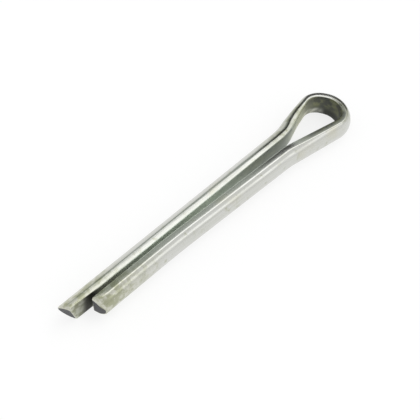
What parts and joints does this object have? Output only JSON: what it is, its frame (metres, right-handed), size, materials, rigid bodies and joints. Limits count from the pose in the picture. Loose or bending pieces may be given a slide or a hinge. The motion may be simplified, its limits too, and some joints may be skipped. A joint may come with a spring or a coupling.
{
  "type": "cotter pin",
  "caption": "Split cotter pin folded from half-round steel wire, with a rounded eye for a head and legs of unequal length that spread to lock it in a hole.",
  "frame": {"origin": "on the shank's axis, halfway between the legs, under the eye where it seats against the hole's edge", "axes": "+X along the shank towards the eye, the legs point along -X; +Y from the short leg to the long leg; +Z square to the plane of the fold"},
  "size_m": [0.0582, 0.0086, 0.004],
  "materials": {
    "zinc_plate": "satin zinc plate over drawn steel wire, a little mottled"
  },
  "bodies": {
    "root": {"cotter_pin": "zinc_plate"}
  },
  "joints": []
}
